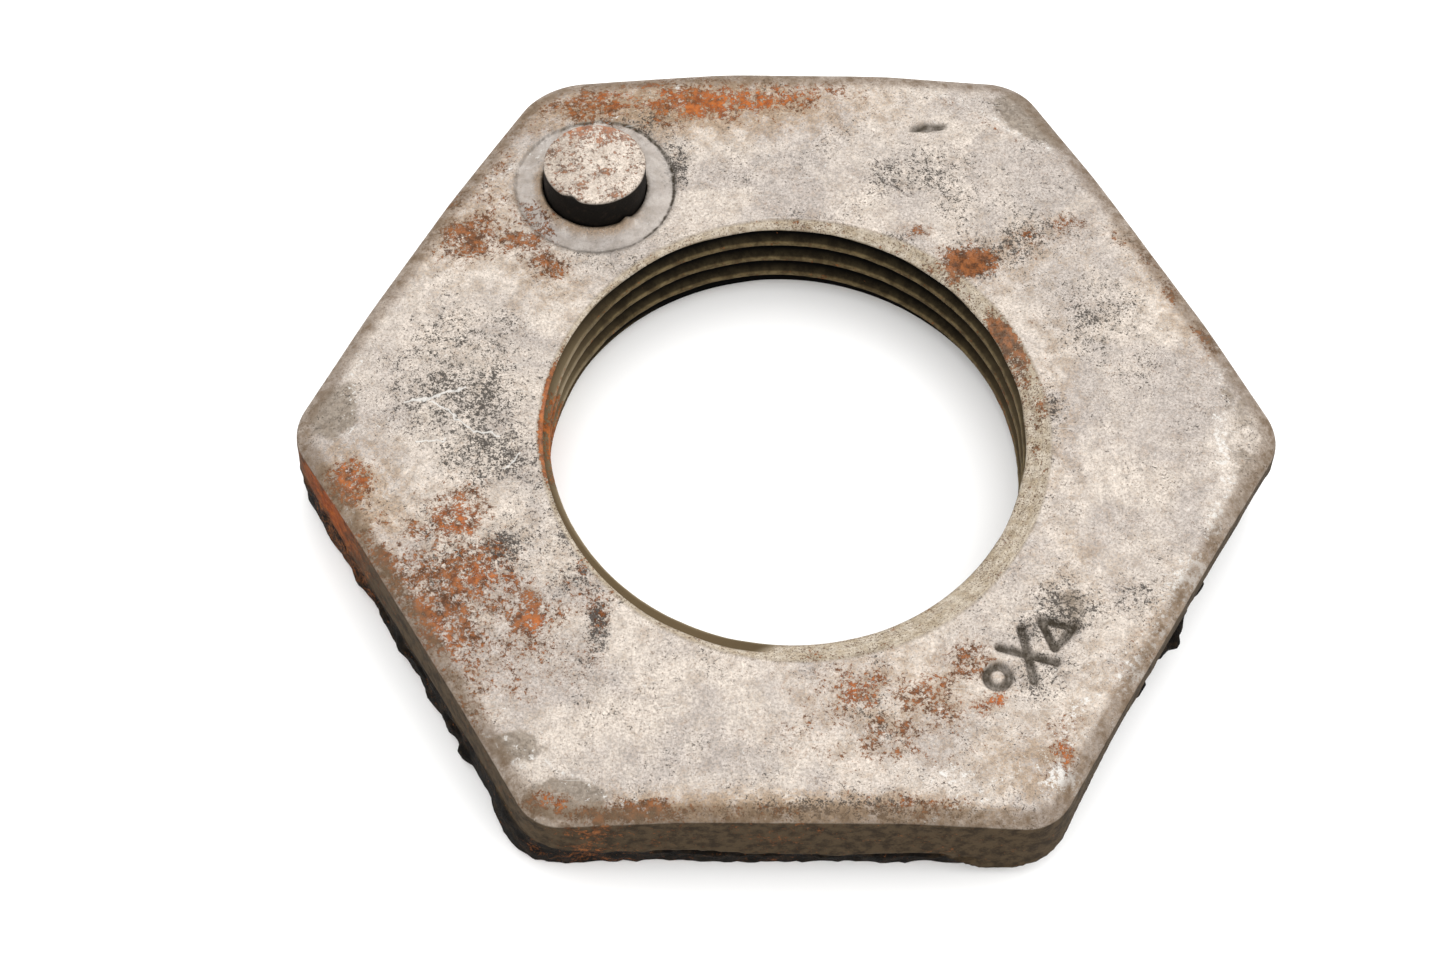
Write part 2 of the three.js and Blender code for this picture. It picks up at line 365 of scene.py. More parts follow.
# Faces between neighbouring rows and columns of a grid of point numbers, as quads.
def gridQuads(left, right):
    return np.stack([left[:-1], right[:-1], right[1:], left[1:]], -1).reshape(-1, 4)


mergeDistance = 0.0001  # points that round to the same multiple of this become one


# A mesh object from points and quads: points that coincide are merged, faces that lost a corner become
# triangles or go, and the volume's sign tells whether to turn the faces round.
def solidObject(name, points, quads):
    steps = np.round(points / mergeDistance).astype(np.int64)
    _, first, number = np.unique(steps, axis=0, return_index=True, return_inverse=True)
    merged = points[first]
    quads = number.reshape(-1)[quads]
    repeated = quads == np.roll(quads, -1, axis=1)
    lost = repeated.sum(1)
    whole = quads[lost == 0]
    triangles = quads[lost == 1][~repeated[lost == 1]].reshape(-1, 3)
    sides = np.concatenate([whole[:, [0, 1, 2]], whole[:, [0, 2, 3]], triangles])
    corners = merged[sides]
    volume = np.einsum("ij,ij->i", corners[:, 0], np.cross(corners[:, 1], corners[:, 2])).sum()
    if volume < 0:
        whole, triangles = whole[:, ::-1], triangles[:, ::-1]
    mesh = bpy.data.meshes.new(name)
    mesh.from_pydata((merged * mm).tolist(), [], whole.tolist() + triangles.tolist())
    mesh.validate()
    mesh.shade_smooth()
    made = bpy.data.objects.new(name, mesh)
    bpy.context.scene.collection.objects.link(made)
    return made


# The plate as one closed grid: columns are directions about the bore, and each column's rows run up the bore,
# out over the top face, round the rolled edge, down the side and back under the bottom face. The rows in the
# thread climb with its helix, so at the last column they meet the first column's rows one pitch further up.
def nutSurface():
    crowds = [(corner * 60, 4.5, 1.3) for corner in range(6)] + [(124, 16, 1.1), (marks["angle"], 11, 1.6)]
    angles = crowdedAngles(plate["columns"], -np.pi / 2, crowds)
    count = len(angles)
    facing = np.stack([np.cos(angles), np.sin(angles)], -1)
    outline, outward = plateOutline(angles)

    def addRow(flat, z):
        rows.append(np.concatenate([flat, z[:, None]], -1))

    def addBoreRow(z):
        addRow(facing * boreRadiusAt(angles, z)[:, None], z)

    rows = []
    lowEnd = thread["bottomChamfer"]
    highEnd = thickness - thread["plainTop"] * thread["topChamfer"]
    for z in np.linspace(0.0, lowEnd, thread["bottomChamferRows"])[:-1]:
        addBoreRow(np.full(count, z))
    helixStart = len(rows)
    pitch = thread["pitch"]
    turnShare = (angles - np.pi / 2) / (2 * np.pi)
    lowest = int(np.floor((lowEnd - thread["grooveHeight"]) / pitch - 0.5)) - 1
    highest = int(np.ceil((highEnd - thread["grooveHeight"]) / pitch + 1.5)) + 1
    for turn in range(lowest, highest):
        for phase in thread["phases"]:
            z = thread["grooveHeight"] + pitch * (turn + phase + turnShare)
            addBoreRow(np.clip(z, lowEnd, highEnd))
    helixEnd = len(rows)
    for z in np.linspace(highEnd, thickness, thread["topChamferRows"])[1:-1]:
        addBoreRow(np.full(count, z))

    spread = np.linspace(0, 1, 400)
    crowd = np.cumsum(1 + 0.9 * bell(spread, 0.42, 0.2))
    crowd = (crowd - crowd[0]) / (crowd[-1] - crowd[0])
    rim = facing * boreRadiusAt(angles, np.full(count, thickness))[:, None]
    shoulder = outline - outward * plate["rollWidth"]
    for share in np.interp(np.linspace(0, 1, plate["topRows"]), crowd, spread):
        flat = rim * (1 - share) + shoulder * share
        addRow(flat, thickness + topRelief(flat[:, 0], flat[:, 1]))
    for bend in np.linspace(0, np.pi / 2, plate["rollRows"] + 1)[1:]:
        flat = outline - outward * plate["rollWidth"] * (1 - np.sin(bend))
        rolled = thickness - plate["rollDepth"] * (1 - np.cos(bend))
        addRow(flat, rolled + topRelief(flat[:, 0], flat[:, 1]))

    shoulderHeight = rows[-1][:, 2]
    lean = byFlat(plate["tornLean"], angles)
    for down in np.linspace(0, 1, plate["sideRows"] + 1)[1:] ** 0.9:
        z = shoulderHeight * (1 - down) + plate["footHeight"] * down
        points = np.concatenate([outline, z[:, None]], -1)
        shift = sideShift(points, lean) - 0.25 * ease(down, 0.965, 1.0)
        points[:, :2] += outward * shift[:, None]
        rows.append(points)
    edge = rows[-1][:, :2]
    under = facing * thread["chamferRadius"]
    for share in np.linspace(0, 1, plate["bottomRows"] + 1)[1:-1] ** 1.2:
        flat = edge * (1 - share) + under * share
        ground = np.concatenate([flat, np.zeros((count, 1))], -1)
        addRow(flat, 0.05 + 0.05 * smoothNoise(ground, 5.0, 51) * ease(share, 1.0, 0.8))

    points = np.stack(rows)
    inBore = points[helixStart:helixEnd]
    worn = smoothNoise(inBore, 1.6, 52) + 0.6 * smoothNoise(inBore, 0.5, 53)
    fade = ease(inBore[..., 2], lowEnd, lowEnd + 0.4) * ease(inBore[..., 2], highEnd, highEnd - 0.4)
    inBore[..., :2] *= (1 + thread["wear"] * worn * fade / thread["wearRadius"])[..., None]

    rowCount = len(points)
    numbers = np.arange(rowCount * count).reshape(rowCount, count)
    closed = np.concatenate([numbers, numbers[:1]])
    quads = [gridQuads(closed[:, :-1], closed[:, 1:])]
    perTurn = len(thread["phases"])
    rowNumbers = np.arange(rowCount + 1)
    steps = np.arange(-perTurn, helixEnd - helixStart)
    leftRows = np.clip(steps, 0, helixEnd - helixStart - 1) + helixStart
    rightRows = np.clip(steps + perTurn, 0, helixEnd - helixStart - 1) + helixStart
    seamLeft = np.concatenate([rowNumbers[:helixStart], leftRows, rowNumbers[helixEnd:]])
    seamRight = np.concatenate([rowNumbers[:helixStart], rightRows, rowNumbers[helixEnd:]])
    quads.append(gridQuads(closed[seamLeft][:, -1:], closed[seamRight][:, :1]))
    return points.reshape(-1, 3), np.concatenate(quads)


# A round bar about the pin's axis: each row is a ring of a given radius and height, bent out of round by a
# function of direction and height, and both ends close in one point.
def roundBar(profile, columns, bend=None):
    turn = np.linspace(0, 2 * np.pi, columns, endpoint=False)
    radius = np.array([point[0] for point in profile])[:, None] * np.ones(columns)
    z = np.array([point[1] for point in profile])[:, None] * np.ones(columns)
    points = np.stack([radius * np.cos(turn), radius * np.sin(turn), z], -1)
    if bend:
        points = bend(points, turn[None, :] * np.ones_like(radius))
    points[..., :2] += pinCentre
    numbers = np.arange(radius.size).reshape(radius.shape)
    numbers = np.concatenate([numbers, numbers[:, :1]], 1)
    return points.reshape(-1, 3), gridQuads(numbers[:, :-1], numbers[:, 1:])


# The hole for the pin, cut through the plate.
def cutPinHole(nut):
    radius = pinRadius + seat["holeGap"]
    heights = [-2.0, 3.0, 8.0, thickness + 3.0]
    profile = [(0, heights[0])] + [(radius, height) for height in heights] + [(0, heights[-1])]
    points, quads = roundBar(profile, 96)
    cutter = solidObject("pin_hole_cutter", points, quads)
    cut = nut.modifiers.new("pin hole", "BOOLEAN")
    cut.operation = "DIFFERENCE"
    cut.solver = "EXACT"
    cut.object = cutter
    evaluated = nut.evaluated_get(bpy.context.evaluated_depsgraph_get())
    result = bpy.data.meshes.new_from_object(evaluated)
    nut.modifiers.clear()
    nut.data = result
    bpy.data.objects.remove(cutter)


pin = {
    "columns": 128,
    "lead": 0.6,
    "edge": 0.25,
    "slant": 0.105,  # the top leans back by this much per millimetre
    "chipAngle": -118,
    "chipDepth": 0.4,
    "chipWidth": 0.14,  # in radians
}


# The pin: a turned profile with a chamfered foot and a softly rounded top rim that has a chip.
def pinSurface():
    top = float(pinHigh[2])
    foot = float(pinLow[2])
    edge = pin["edge"]
    bends = np.linspace(0, np.pi / 2, 6)
    profile = [(0, foot), (pinRadius * 0.5, foot), (pinRadius - pin["lead"] / 2, foot)]
    profile += [(pinRadius, foot + pin["lead"])]
    profile += [(pinRadius, height) for height in np.linspace(foot + 1.2, thickness - 0.8, 8)]
    profile += [(pinRadius, height) for height in np.linspace(thickness - 0.5, top - edge - 0.15, 14)]
    profile += [(pinRadius - edge * (1 - np.cos(bend)), top - edge * (1 - np.sin(bend))) for bend in bends]
    profile += [(radius, top) for radius in np.linspace(pinRadius - edge - 0.2, 0, 16)]

    def bend(points, turn):
        outward = np.stack([np.cos(turn), np.sin(turn), 0 * turn], -1)
        z = points[..., 2]
        rough = layeredNoise(points * np.array([1, 1, 0.5]), 1.3, 61)
        inside = ease(np.hypot(points[..., 0], points[..., 1]), pinRadius - 0.3, pinRadius)
        points = points + outward * (0.03 * rough * inside * ease(z, foot + 0.8, foot + 1.5))[..., None]
        near = (turn - np.radians(pin["chipAngle"]) + np.pi) % (2 * np.pi) - np.pi
        chip = pin["chipDepth"] * bell(near, 0, pin["chipWidth"]) * ease(z, top - 0.9, top - 0.05)
        points = points - outward * (chip * inside)[..., None]
        radius = np.hypot(points[..., 0], points[..., 1])
        slant = pin["slant"] * points[..., 1] + 0.08
        crown = 0.05 * (radius / pinRadius) ** 4 + 0.02 * smoothNoise(points, 1.5, 63) + slant
        points[..., 2] -= crown * ease(z, thickness, top - 0.3)
        return points

    return roundBar(profile, pin["columns"], bend)


# Where the plate is rusty, sooty, grey or bright: each patch is x, y, half length, half width, turn and
# strength.
patches = {
    "rust": [
        (-10, 29.2, 14, 2.8, 0, 0.56), (-23, 24, 3.4, 2.4, 40, 0.5), (-10, 31.8, 10, 0.9, 0, 0.6),
        (13.2, 29.8, 1.6, 0.35, -38, 0.6), (16.4, 27.6, 3, 0.3, -38, 0.66), (10, 17.6, 1.4, 0.8, 0, 0.6),
        (19.3, 3, 0.6, 4.6, -6, 0.5), (16.5, 8.6, 0.9, 2, 28, 1.25), (-1, 30.6, 8, 1.6, 0, 0.62),
        (25.9, 17.1, 1.4, 0.7, -30, 0.6), (26, -19, 2, 3.4, -30, 0.42), (19.6, -25.4, 1.6, 2.8, -20, 0.55),
        (6.6, -24.2, 8, 4.8, 0, 0.46), (18, 16.6, 6, 1.6, 22, 0.42), (-22, 19, 5, 4, -30, 0.42),
        (-14.3, 29.6, 5, 2, 0, 0.86), (-6, 29.6, 6, 2, 0, 1), (0.6, 29.8, 3.6, 1.6, 0, 0.7),
        (-20.8, 27.4, 3.2, 1.6, 20, 0.5), (-24.4, 17, 3.4, 2.4, 15, 0.95), (-19.6, 17.5, 2.6, 2.8, 0, 0.8),
        (-18.2, 14.4, 2.2, 1.5, -35, 0.8), (-25.8, 20.5, 1.8, 1.4, 50, 0.6),
        (-20.6, 16.6, 3.4, 1.8, -20, 0.8), (14.2, 14.9, 2.7, 1.7, 15, 1.15), (12.2, 15.6, 1.2, 0.8, 0, 0.6),
        (21.4, 18.4, 2.2, 1, 15, 0.65), (18.9, 17.6, 1, 0.6, 0, 0.7), (-24.6, -7.6, 2.6, 3.4, -20, 0.85),
        (-27.6, -10.5, 3, 4, 25, 0.66), (-23.4, -12.4, 3.8, 3.6, 0, 0.88),
        (-19.6, -15.6, 3.8, 2.8, -25, 0.82), (-25.4, -17, 3.4, 6, 30, 0.84), (-19, -19.6, 5, 4, 0, 0.52),
        (-15.6, -13.4, 2.2, 2.6, 0, 0.5), (-14, -15.8, 1.2, 2, 0, 0.6), (-23.4, -22.4, 1.8, 4, 30, 0.62),
        (-29.2, -12.8, 1.4, 7, 30, 0.82), (4.6, -22, 2.8, 2.4, 0, 0.74), (9.6, -22.8, 4.2, 3, 0, 0.66),
        (6.8, -25.8, 4.6, 2.4, 0, 0.6), (12.8, -19.6, 2.2, 1.8, 0, 0.8), (14.4, -22.8, 1.9, 0.8, 20, 0.85),
        (19.4, -26.8, 1.2, 1.4, 0, 0.75), (-18, -30.8, 2.2, 0.9, 0, 0.8), (-11.5, -31.8, 5.8, 1, 0, 0.95),
        (-3, -31.8, 4, 0.8, 0, 0.75), (8, -31.3, 5.4, 1.2, 0, 0.66), (-33, -5, 2.2, 2.4, 0, 0.9),
        (-30.4, -9, 1.8, 4, 30, 0.6), (27.8, 15.7, 0.9, 1.6, 30, 0.75), (29.3, 12.8, 0.8, 2, 30, 0.75),
        (31.9, 8.2, 0.7, 2.4, 30, 0.7), (19.3, -27.4, 2.2, 1.6, 60, 0.6), (24, -22, 1.2, 3, -30, 0.35),
    ],
    "orange": [
        (-3.3, 29.9, 3.4, 1.5, 0, 1.2), (-11.2, 30.6, 3.4, 1.3, 0, 1.1), (1, 30.9, 2.4, 1.1, 0, 1),
        (-6.8, 28.6, 2.2, 1.2, 0, 0.9), (-32.8, -4.2, 1.6, 1.4, 0, 1), (-33.6, -7.2, 1.6, 2.6, 25, 1),
        (-31.4, -10.8, 1.2, 3.2, 30, 0.7), (15, -22.8, 1.7, 0.7, 20, 1), (13.2, -23.2, 0.8, 0.9, 0, 0.8),
        (4.4, -21.2, 1, 0.8, 0, 0.6), (19.4, -26.8, 1, 1.1, 0, 0.75), (-24.4, -8.4, 1.6, 1.8, 0, 0.8),
        (-22.5, -13, 2, 1.6, 0, 0.6), (-18.6, -16.6, 0.9, 1, 0, 0.8), (-26.4, -18, 1.4, 4, 30, 0.6),
        (5, -22, 1.8, 1.4, 0, 0.7), (-17.8, -31, 1.6, 0.8, 0, 0.7), (9.6, -21.2, 1.4, 0.9, 0, 0.4),
    ],
    "soot": [
        (-24.4, 3, 4.8, 6.4, -15, 0.6), (-22.6, -2.4, 4.4, 3.6, 0, 0.64), (-26.2, 8, 3, 3, 0, 0.4),
        (-21.4, -10, 1.9, 1.4, 10, 1), (-14.2, -17, 0.9, 2, 0, 1), (-16.2, -13, 2, 1.6, 0, 0.65),
        (10.6, 23.2, 4.4, 2.4, -10, 0.6), (13.4, 20.6, 3.2, 2, -20, 0.3), (20.4, -15.4, 2.6, 2.4, 0, 0.7),
        (19.7, 2, 0.9, 4.6, -6, 0.4), (17.8, -17, 1.8, 1.4, 0, 0.6), (-8.2, 23.9, 1.2, 2.4, 0, 0.8),
        (-10.4, 27.4, 2.4, 1.4, 0, 0.45), (-24, -12, 5, 5, 0, 0.45), (-15.4, -10.6, 1.4, 3, 30, 0.6),
        (7, -25.6, 3, 1.6, 0, 0.25), (24, 10, 4, 5, 0, 0.25), (2, -31.6, 10, 0.9, 0, 0.5),
        (14.6, 14.6, 1.8, 1.2, 0, 0.9), (17.4, 16.4, 5, 2.2, 20, 0.6), (8.4, 16.8, 1.4, 0.8, 0, 0.6),
        (25.6, -14.6, 1.6, 2, 0, 0.5), (18.4, -20.4, 2.4, 2, 40, 0.5),
    ],
    "slateAndShade": [
        (-34.2, 1.2, 2.1, 2.5, 0, 1), (-33, 3.4, 1.4, 1.2, 0, 0.6), (-20, -26.7, 2.2, 1.3, -10, 1),
        (-16.4, -30.6, 3.2, 1.5, -5, 1.15), (20.5, 28.6, 4.4, 2.6, -30, 1.1),
        (10, 21.8, 4.6, 2.8, -20, 0.34), (25.5, 9.2, 3.6, 4.2, -30, 0.4), (20.4, -15.6, 3, 2.6, 0, 0.55),
        (17.8, -31, 3.6, 1.6, 20, 0.5), (-25, 5, 4, 6, 0, 0.35), (34.2, 2.6, 1.8, 3, 0, 0.45),
        (34.4, -4.2, 1.8, 3, 0, 0.35), (-5, -27.5, 3.4, 1.8, 0, 0.3),
    ],
    "tan": [
        (17.5, -28, 5, 4, 0, 0.8), (27, -17.5, 2.2, 8, -30, 0.55), (0, -31.6, 18, 1.6, 0, 1.1),
        (-24, -20, 5, 7, 30, 0.3), (-32, -6, 4, 6, 20, 0.9), (-9, 29.4, 16, 3.4, 0, 1.15),
        (-24, 20, 5, 8, -30, 0.7), (-18.5, 13, 4, 3, -30, 0.6), (17, 15, 7, 3, 20, 0.55),
        (29, 12, 2, 8, 30, 0.6), (8, -22.5, 8, 5, 0, 0.6), (-22, -12, 6, 7, 0, 0.3),
        (21, -12, 5, 5, 0, 0.35), (20.6, 2, 1.8, 10, 0, 0.45), (28, -16, 1.4, 9, -30, 0.8),
        (22.6, -22, 3.4, 5, -30, 0.5),
    ],
    # bright worn metal with painted highlights, along the right-hand edges and the corners
    "bareAndHighlight": [
        (32.6, -2, 0.7, 4.5, 3, 0.62), (31.7, -8, 0.9, 2.6, -12, 0.7), (29.4, -12.8, 1.4, 3, -30, 0.8),
        (27.2, -16.8, 1.3, 3, -30, 0.55), (25.2, -20.4, 1.4, 2.6, -30, 0.7),
        (19.3, -28.9, 1.6, 1.1, 0, 0.9), (11.2, -29, 2.2, 1.2, 0, 0.5), (13, -30.6, 3, 0.6, 0, 0.4),
        (20.6, -23.6, 3.4, 0.8, 55, 0.5), (-20.2, -28, 1.6, 0.5, 0, 0.5),
    ],
}


# Strength of a kind of patch over the plan: the strongest of its ellipses, each fading out round its edge.
def patchStrength(kind, x, y):
    total = np.zeros_like(x)
    for *ellipse, strength in patches[kind]:
        total = np.maximum(total, strength * ease(ellipseShare(x, y, *ellipse), 1.65, 0.2))
    return total


# An array that Blender keeps for a mesh's points, as one row of three numbers each.
def pointArray(mesh, name):
    values = np.zeros(len(mesh.vertices) * 3)
    mesh.vertices.foreach_get(name, values)
    return values.reshape(-1, 3)


# Masks stored on a mesh's points, for its material to read.
def storeMasks(mesh, masks, most):
    for name, values in masks.items():
        attribute = mesh.attributes.new(name, "FLOAT", "POINT")
        attribute.data.foreach_set("value", np.clip(values, 0, most).astype(np.float32))


# Which part of the plate each point is on, as masks from 0 to 1.
def plateRegions(points, normals):
    x, y, z = points.T
    radius, around = np.hypot(x, y), np.arctan2(y, x)
    plain = thread["chamferRadius"]
    mouth = np.where(z > thickness / 2, boreRadiusAt(around, np.full_like(z, thickness)), plain)
    belowTop = ease(radius, plain + 0.25, plain) * ease(z, thickness - 0.1, thickness - 0.3)
    bore = np.maximum(ease(radius, mouth + 0.2, mouth - 0.02), belowTop)
    droop = cornerDroop(x, y)
    top = ease(z, thickness - droop - 0.75, thickness - droop - 0.3) * (1 - bore)
    top *= ease(normals[:, 2], 0.1, 0.55)
    under = ease(z, 0.35, 0.1) * (1 - bore)
    side = np.clip(1 - bore - top - under, 0, 1)
    upper = ease(z, thickness - 2.5, thickness - 1.5)
    fromPin = np.hypot(x - pinCentre[0], y - pinCentre[1])
    aroundPin = np.arctan2(y - pinCentre[1], x - pinCentre[0])
    # painted shade in recesses: the punched strokes, the torn groove at the pin's foot and the dents
    hollows = [
        ease(markDistance(x, y), marks["stroke"] / 2 + 0.12, marks["stroke"] / 2 - 0.12),
        ease(fromPin, pinRadius + 0.42, pinRadius + 0.08),
        ease(dentDepth(x, y), 0.05, 0.2),
    ]
    pastCone = radius - topConeRadius(around, z)
    chamfer = bore * ease(pastCone, 0.12, 0.02) * ease(z, thickness - 1.3, thickness - 1.1)
    outline, outward = plateOutline(around)
    inset = ((outline - points[:, :2]) * outward).sum(1)
    return {
        "bore": bore,
        "top": top,
        "under": under,
        "side": side,
        "torn": side * ease(tornBorder(points) - z, -0.1, 0.4),
        "recessShade": np.maximum.reduce(hollows) * upper * (1 - bore),
        "collar": ease(np.cos(aroundPin + 2.2), -0.5, 0.6) * ease(fromPin, pinRadius + 1.3, pinRadius + 0.45),
        "ringFloor": ease(fromPin, seat["ringRadius"] + 0.1, seat["ringRadius"] - 0.3) * upper,
        "chamfer": chamfer,
        # where the painted shade of the groove roots goes
        "groove": ease(grooveDistance(around, z), 0.405, 0.32) * bore * (1 - chamfer),
        # painted shade over the rolled edge, darker towards the outline
        "edge": ease(inset, plate["rollWidth"] + 0.3, 0.75) * (1 - bore) * (1 - under),
        # where the painted highlight along the corner creases goes
        "crease": ease(droop, 0.02, 0.12) * ease(droop, 0.5, 0.12) * top,
        # painted shade on the drooped facets at the right front
        "rightFacetShade": ease(x, 14.0, 18.0) * ease(y, -12.0, -6.0) * ease(droop, 0.1, 0.22),
    }


# Stored on the plate's points: how much of each finish there is, and which part of the plate the point is on.
def paintPlate(nut):
    points = pointArray(nut.data, "co") / mm
    x, y, z = points.T
    at = plateRegions(points, pointArray(nut.data, "normal"))
    bore, side, top, chamfer, groove = [at[name] for name in ("bore", "side", "top", "chamfer", "groove")]
    masks = {kind: patchStrength(kind, x, y) for kind in patches}
    # painted highlight along the corner creases, added to the bright patches
    masks["bareAndHighlight"] = np.maximum(masks["bareAndHighlight"], 0.35 * at["crease"]) * top
    # painted shade on the right-front facets, joined to the grey slate patches
    masks["slateAndShade"] = np.maximum(masks["slateAndShade"], 0.5 * at["rightFacetShade"]) * top * (1 - at["ringFloor"])
    masks["soot"] = masks["soot"] * top + 0.2 * chamfer
    masks["tan"] = np.maximum(masks["tan"], 1.3 * at["collar"]) * top
    # rust on the side: under the left corner, along the front, and a little everywhere below
    alongFront = ease(y, -30.0, -31.5) * (bell(x, -14.5, 3.0) + 0.5 * bell(x, -1.0, 2.5))
    sideRust = 0.3 * ease(x, 24.0, 12.0) + 0.5 * bell(x, -33.0, 5.0) * bell(y, -7.0, 6.0) + 0.35 * alongFront
    leftBore = bell(x, -18.6, 1.5) * bell(y, 1.0, 6.5)
    rightBore = bell(x, 17.6, 1.5) * bell(y, 6.5, 4.0)
    masks["rust"] *= (1 - side) * (1 - bore * (1 - 0.6 * chamfer))
    masks["rust"] += side * sideRust + 0.3 * at["under"]
    masks["rust"] += bore * ((1 - 0.5 * groove) * 1.5 * leftBore + (1 - groove) * (0.45 * rightBore + 0.34))
    sideOrange = 1.2 * bell(x, -34.4, 3.4) * bell(y, -5.0, 5.0) * ease(z, 3.6, 5.6)
    masks["orange"] *= (1 - bore) * (1 - side)
    masks["orange"] += side * sideOrange + 0.9 * bore * leftBore
    # painted light in the bore: paler towards the front and the left, where the light falls in
    masks["lit"] = ease(y, 15.0, 4.0) * (0.4 + 0.6 * ease(x, 8.0, -8.0)) * bore
    masks["coined"] = at["ringFloor"] * (1 - at["recessShade"]) * (1 - 0.8 * at["collar"])
    for name in ("edge", "side", "under", "torn", "bore", "groove", "chamfer", "recessShade"):
        masks[name] = at[name]
    storeMasks(nut.data, masks, 1.5)


# Stored on the pin's points: a rusty back rim and a streak on its end, and which points are on its side.
def paintPin(made):
    x, y, z = (pointArray(made.data, "co") / mm).T
    top = float(pinHigh[2])
    dx, dy = x - pinCentre[0], y - pinCentre[1]
    onTop = ease(z + pin["slant"] * dy, top - 0.38, top - 0.2)
    backRim = ease(dy, 1.2, 3.6)
    streak = bell(dx, -0.4, 1.1) * bell(dy, -0.2, 1.6)
    masks = {
        "rust": (0.55 + 0.34 * backRim + 0.15 * streak) * onTop + 0.2 * (1 - onTop),
        "orange": 0.5 * backRim * onTop,
        "soot": (0.02 + 0.2 * ease(np.hypot(dx, dy), 3.0, 3.9)) * onTop,
        "side": 1 - onTop,
    }
    storeMasks(made.data, masks, 1.0)


lightGain = 1.76  # the studio's light on a level surface, as a multiple of white


# A surface colour from the one it shows under the studio's light.
def tone(red, green, blue):
    channels = np.array([red, green, blue]) / 255
    linear = np.where(channels <= 0.04045, channels / 12.92, ((channels + 0.055) / 1.055) ** 2.4)
    return (*[float(channel) / lightGain for channel in linear], 1.0)


# A new node: another node's output is linked to its socket, and a plain value is set on it.
def place(tree, kind, inputs, **settings):
    node = tree.nodes.new(kind)
    for name, value in settings.items():
        setattr(node, name, value)
    for name, value in inputs.items():
        if isinstance(value, bpy.types.NodeSocket):
            tree.links.new(value, node.inputs[name])
        else:
            node.inputs[name].default_value = value
    return node


def calc(tree, operation, first, second=0.0, clamp=False):
    inputs = {0: first, 1: second}
    return place(tree, "ShaderNodeMath", inputs, operation=operation, use_clamp=clamp).outputs[0]


def times(tree, first, second):
    return calc(tree, "MULTIPLY", first, second)


def plus(tree, first, second):
    return calc(tree, "ADD", first, second)


def minus(tree, first, second):
    return calc(tree, "SUBTRACT", first, second)


def largest(tree, first, *others):
    for other in others:
        first = calc(tree, "MAXIMUM", first, other)
    return first


# Vector sums. A dot product, a length and a distance give a number, and the others a vector.
def vectorCalc(tree, operation, first, second=(0, 0, 0)):
    node = place(tree, "ShaderNodeVectorMath", {0: first, 1: second}, operation=operation)
    return node.outputs["Value" if operation in ("DOT_PRODUCT", "LENGTH", "DISTANCE") else "Vector"]


def mixColour(tree, factor, first, second, blend="MIX"):
    inputs = {0: factor, 6: first, 7: second}
    node = place(tree, "ShaderNodeMix", inputs, data_type="RGBA", blend_type=blend, clamp_factor=True)
    return node.outputs[2]


def band(tree, value, low, high, toLow=0.0, toHigh=1.0):
    inputs = {"Value": value, "From Min": low, "From Max": high, "To Min": toLow, "To Max": toHigh}
    return place(tree, "ShaderNodeMapRange", inputs, interpolation_type="SMOOTHSTEP").outputs[0]


# Two colours, blended by where a noise lies between two levels.
def mottled(tree, noise, low, high, first, second):
    return mixColour(tree, band(tree, noise, low, high), first, second)


# A colour laid over another one by a mask, at a share of its full strength.
def cover(tree, below, mask, share, above):
    return mixColour(tree, times(tree, mask, share), below, above)


def noiseOf(tree, position, perMm, detail=3.0, roughness=0.55, distortion=0.0):
    inputs = {"Vector": position, "Scale": perMm, "Detail": detail, "Roughness": roughness}
    return place(tree, "ShaderNodeTexNoise", {**inputs, "Distortion": distortion}).outputs[0]


def startGroup(name, inputs, outputs):
    tree = bpy.data.node_groups.new(name, "ShaderNodeTree")
    for label, kind, value in [("Position", "Vector", None)] + inputs:
        socket = tree.interface.new_socket(label, in_out="INPUT", socket_type="NodeSocket" + kind)
        if value is not None:
            socket.default_value = value
    for label, kind in outputs:
        tree.interface.new_socket(label, in_out="OUTPUT", socket_type="NodeSocket" + kind)
    return tree, tree.nodes.new("NodeGroupInput").outputs, tree.nodes.new("NodeGroupOutput").inputs


def finishGroup(tree, sockets, results):
    for label, value in results.items():
        tree.links.new(value, sockets[label])
    return tree


rustTones = {
    "dark": tone(92, 57, 34),
    "brown": tone(172, 105, 58),
    "warm": tone(172, 88, 38),
    "orange": tone(216, 122, 54),
}


# Rust in patches: wandering blotches whose threshold falls where the amount is high, with ragged fine edges,
# from dark brown through red-brown to orange.
def makeRustGroup():
    tree, given, result = startGroup(
        "rust bloom",
        [("Amount", "Float", 0.0), ("Orange", "Float", 0.0)],
        [("Mask", "Float"), ("Halo", "Float"), ("Colour", "Color"), ("Height", "Float")],
    )
    position = given["Position"]
    blotch = noiseOf(tree, position, 0.72, 7.0, 0.78, 0.4)
    grain = noiseOf(tree, position, 3.6, 4.0, 0.8)
    mixed = plus(tree, times(tree, blotch, 0.5), times(tree, grain, 0.5))
    lifted = plus(tree, mixed, times(tree, given["Amount"], 0.2))
    mask = band(tree, lifted, 0.625, 0.68)
    halo = band(tree, lifted, 0.53, 0.67)
    shade = noiseOf(tree, position, 1.7, 4.0, 0.65)
    brown = mottled(tree, shade, 0.36, 0.64, rustTones["dark"], rustTones["brown"])
    warm = mottled(tree, shade, 0.38, 0.66, rustTones["warm"], rustTones["orange"])
    strength = times(tree, given["Orange"], band(tree, noiseOf(tree, position, 0.9, 3.0, 0.6), 0.34, 0.56))
    colour = mixColour(tree, strength, brown, warm)
    height = times(tree, mask, noiseOf(tree, position, 5.0, 3.0, 0.7))
    return finishGroup(tree, result, {"Mask": mask, "Halo": halo, "Colour": colour, "Height": height})


